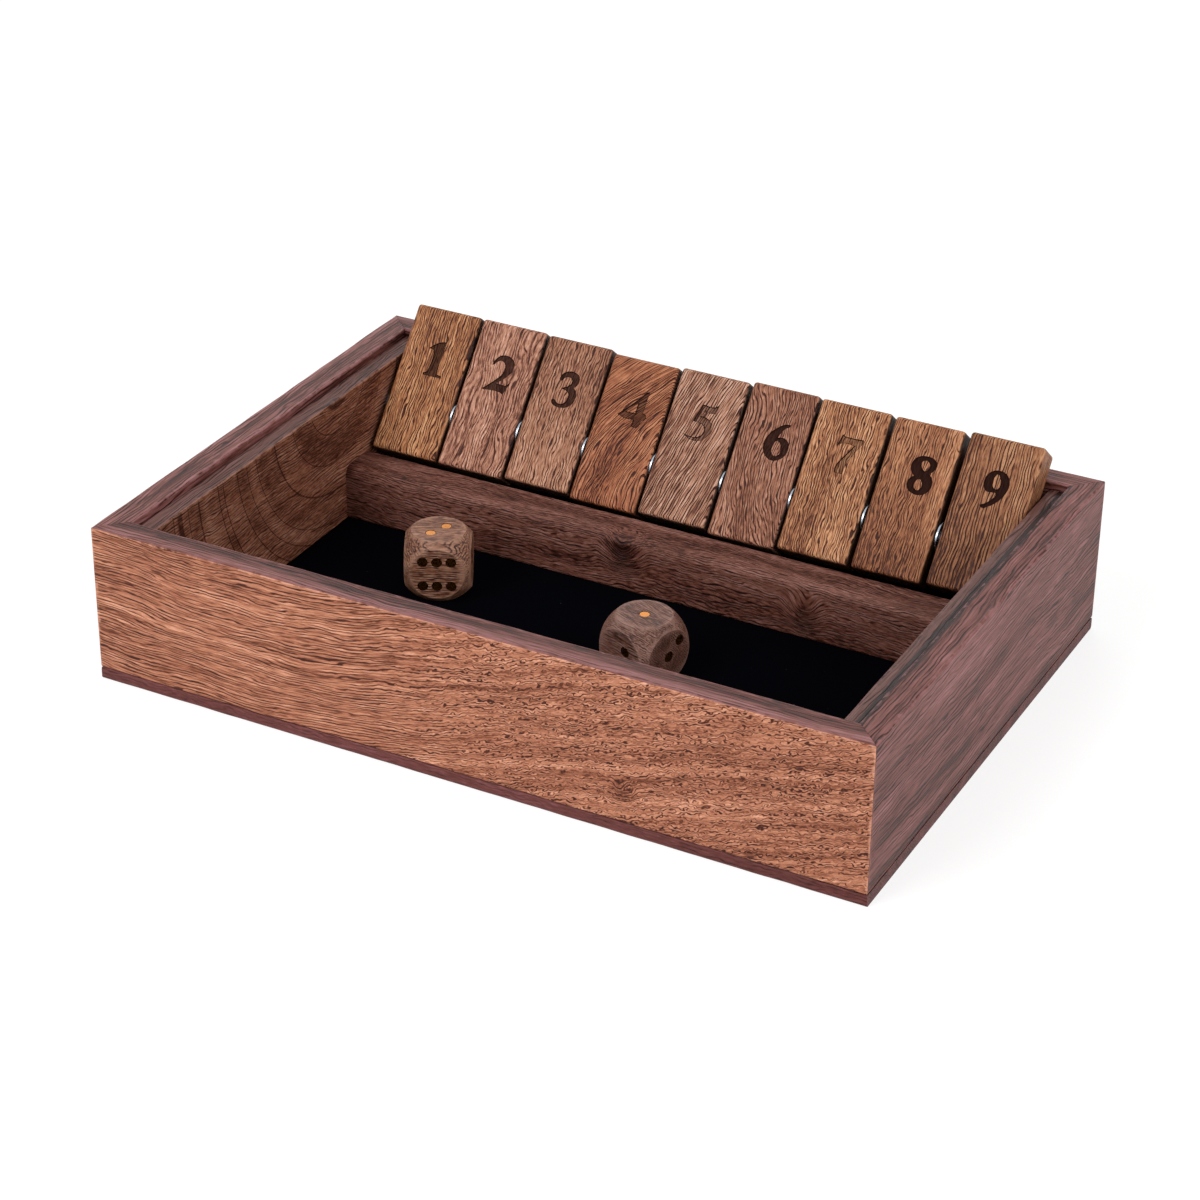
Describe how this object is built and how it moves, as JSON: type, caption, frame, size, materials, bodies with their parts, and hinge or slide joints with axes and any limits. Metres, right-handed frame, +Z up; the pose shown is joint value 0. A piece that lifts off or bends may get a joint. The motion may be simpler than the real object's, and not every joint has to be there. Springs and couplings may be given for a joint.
{
  "type": "shut the box game",
  "caption": "Open wooden dice game box with numbered tiles that flip forward on a steel rod, a divider rail, a felt-lined dice tray and loose dice.",
  "frame": {"origin": "middle of the base board's underside, on the table", "axes": "+X along the box towards the ninth tile, +Y from the dice tray towards the tiles, +Z up"},
  "size_m": [0.29, 0.2, 0.0735],
  "materials": {
    "base_wood": "dark maroon stain, satin",
    "front_wood": "orange-brown wavy grain, oiled satin",
    "box_wood": "dark brown straight grain, oiled satin",
    "liner_wood": "warm brown ring figure, oiled satin",
    "rail_wood": "dark red-brown, oiled satin",
    "golden_tile": "golden brown with dark pores, satin",
    "brown_tile": "light brown with dark pores, satin",
    "red_tile": "red-brown with dark streaks, satin",
    "die_wood": "dark brown end and side grain, sanded",
    "felt": "short black nap",
    "steel": "plain bright",
    "brass": "plain bright, sanded flush"
  },
  "bodies": {
    "box": {"base_board": "base_wood", "felt": "felt", "front_wall": "front_wood", "back_wall": "box_wood", "left_wall": "box_wood", "right_wall": "box_wood", "left_liner": "liner_wood", "right_liner": "liner_wood", "divider_rail": "rail_wood", "pivot_rod": "steel", "spacer_washers": "steel"},
    "tile_1": {"tile_1": "golden_tile"},
    "tile_2": {"tile_2": "brown_tile"},
    "tile_3": {"tile_3": "brown_tile"},
    "tile_4": {"tile_4": "red_tile"},
    "tile_5": {"tile_5": "brown_tile"},
    "tile_6": {"tile_6": "red_tile"},
    "tile_7": {"tile_7": "golden_tile"},
    "tile_8": {"tile_8": "brown_tile"},
    "tile_9": {"tile_9": "golden_tile"},
    "left_die": {"left_die": "die_wood", "left_die_pips": "brass"},
    "right_die": {"right_die": "die_wood", "right_die_pips": "brass"}
  },
  "joints": [
    {"name": "tile_1_hinge", "type": "hinge", "parent": "box", "child": "tile_1", "pos_m": [0, 0.0665, 0.0403], "axis": [1, 0, 0], "range_deg": [0, 142]},
    {"name": "tile_2_hinge", "type": "hinge", "parent": "box", "child": "tile_2", "pos_m": [0, 0.0665, 0.0403], "axis": [1, 0, 0], "range_deg": [0, 142]},
    {"name": "tile_3_hinge", "type": "hinge", "parent": "box", "child": "tile_3", "pos_m": [0, 0.0665, 0.0403], "axis": [1, 0, 0], "range_deg": [0, 142]},
    {"name": "tile_4_hinge", "type": "hinge", "parent": "box", "child": "tile_4", "pos_m": [0, 0.0665, 0.0403], "axis": [1, 0, 0], "range_deg": [0, 142]},
    {"name": "tile_5_hinge", "type": "hinge", "parent": "box", "child": "tile_5", "pos_m": [0, 0.0665, 0.0403], "axis": [1, 0, 0], "range_deg": [0, 142]},
    {"name": "tile_6_hinge", "type": "hinge", "parent": "box", "child": "tile_6", "pos_m": [0, 0.0665, 0.0403], "axis": [1, 0, 0], "range_deg": [0, 142]},
    {"name": "tile_7_hinge", "type": "hinge", "parent": "box", "child": "tile_7", "pos_m": [0, 0.0665, 0.0403], "axis": [1, 0, 0], "range_deg": [0, 142]},
    {"name": "tile_8_hinge", "type": "hinge", "parent": "box", "child": "tile_8", "pos_m": [0, 0.0665, 0.0403], "axis": [1, 0, 0], "range_deg": [0, 142]},
    {"name": "tile_9_hinge", "type": "hinge", "parent": "box", "child": "tile_9", "pos_m": [0, 0.0665, 0.0403], "axis": [1, 0, 0], "range_deg": [0, 142]},
    {"name": "left_die_lift", "type": "slide", "parent": "box", "child": "left_die", "axis": [0, 0, 1], "range_m": [0, 0.08]},
    {"name": "right_die_lift", "type": "slide", "parent": "box", "child": "right_die", "axis": [0, 0, 1], "range_m": [0, 0.08]}
  ]
}
